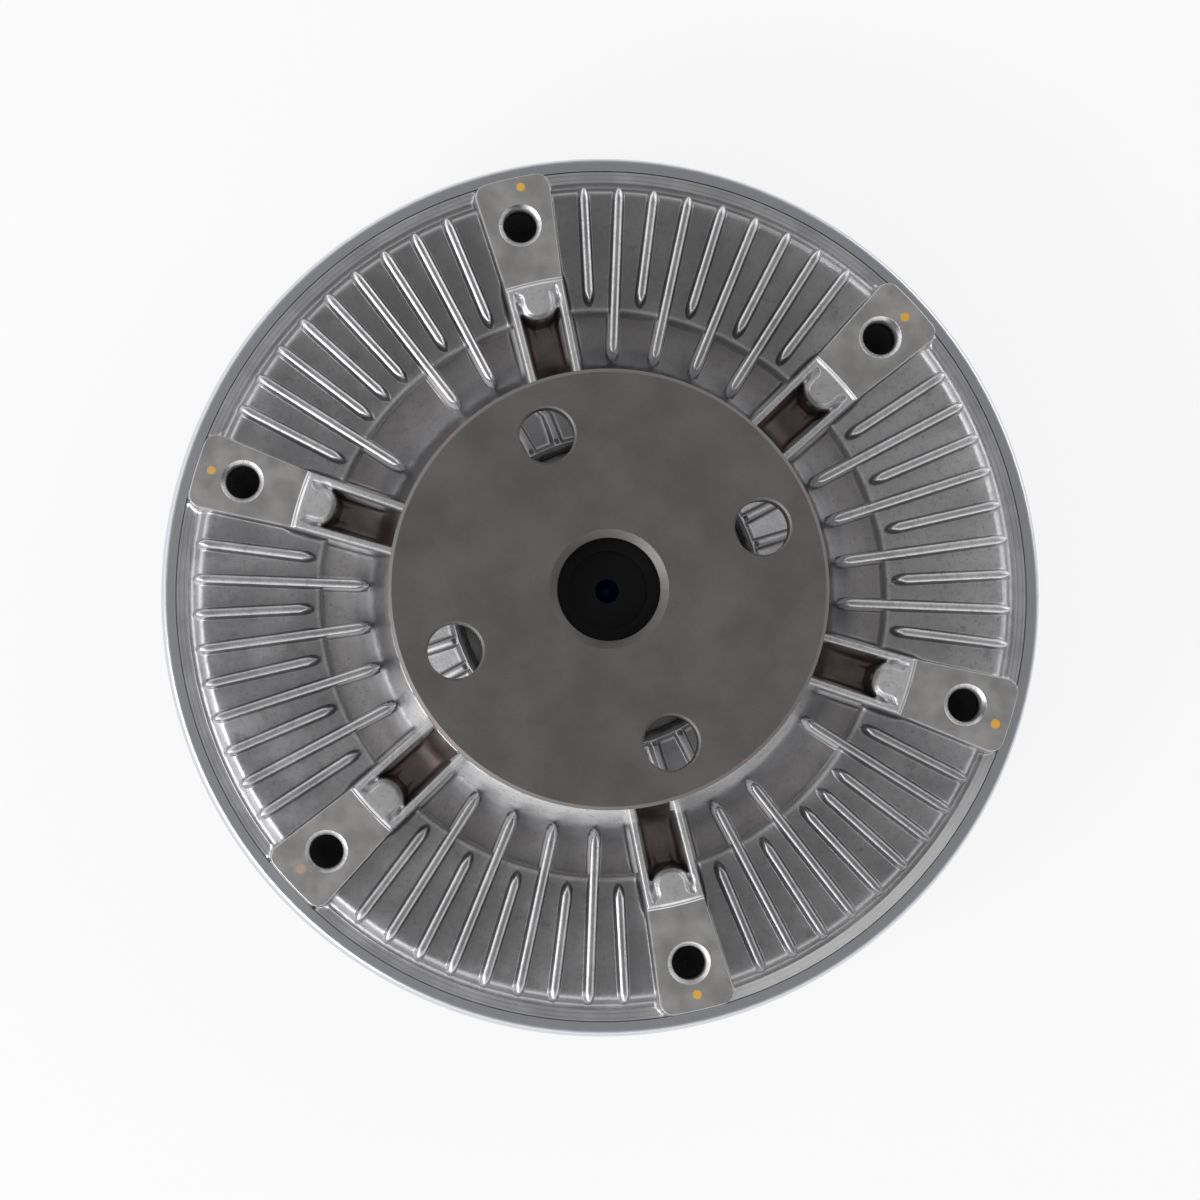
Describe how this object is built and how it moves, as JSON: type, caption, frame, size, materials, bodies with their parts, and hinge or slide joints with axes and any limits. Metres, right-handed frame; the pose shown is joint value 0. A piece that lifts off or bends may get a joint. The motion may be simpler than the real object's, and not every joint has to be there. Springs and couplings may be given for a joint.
{
  "type": "viscous fan clutch",
  "caption": "Viscous fan clutch: ribbed die-cast housing with fan pads turns on a flanged drive shaft, with a fluid rotor, ball bearing and bimetal valve inside.",
  "frame": {"origin": "centre of the mounting flange's face, on the shaft's axis", "axes": "+Z along the shaft, out of the flange's face towards the engine; the clutch stands on its front fins"},
  "size_m": [0.2094, 0.2094, 0.0871],
  "materials": {
    "flange_steel": "turned dark steel with a faint rust bloom at the edges",
    "cast_aluminium": "as-cast aluminium with casting stains, machined pads",
    "bearing_steel": "ground bearing steel",
    "spring_steel": "phosphated spring steel",
    "plate_steel": "bright zinc-plated steel",
    "rubber": "black moulded rubber",
    "nylon": "natural nylon",
    "bronze": "sintered bronze",
    "bimetal": "rolled bimetal strip"
  },
  "bodies": {
    "input": {"hub_shaft": "flange_steel", "rotor": "cast_aluminium", "rotor_retaining_ring": "spring_steel", "bearing_inner_ring": "bearing_steel"},
    "rolling": {"bearing_balls": "bearing_steel", "bearing_cage": "nylon"},
    "housing": {"rear_housing": "cast_aluminium", "front_cover": "cast_aluminium", "bearing_outer_ring": "bearing_steel", "bearing_seal_rear": "rubber", "bearing_seal_front": "rubber", "bearing_retaining_ring": "spring_steel", "rim_seal": "rubber", "pump_plate": "plate_steel", "pump_plate_screws": "spring_steel", "wiper": "nylon", "return_plug": "plate_steel", "valve_bushing": "bronze", "bimetal_coil": "bimetal"},
    "valve": {"valve_shaft": "plate_steel", "valve_arm": "plate_steel", "valve_seal": "rubber", "coil_arbor": "plate_steel"}
  },
  "joints": [
    {"name": "housing_spin", "type": "hinge", "parent": "input", "child": "housing", "pos_m": [0, 0, -0.0329], "axis": [0, 0, 1], "continuous": true},
    {"name": "bearing_roll", "type": "hinge", "parent": "input", "child": "rolling", "pos_m": [0, 0, -0.0329], "axis": [0, 0, 1], "continuous": true},
    {"name": "valve_turn", "type": "hinge", "parent": "housing", "child": "valve", "pos_m": [0, 0, -0.07], "axis": [0, 0, 1], "range_deg": [0, 40], "deforming": ["bimetal_coil"]}
  ],
  "couplings": [
    {"joint": "bearing_roll", "follows": "housing_spin", "ratio": 0.57315}
  ]
}
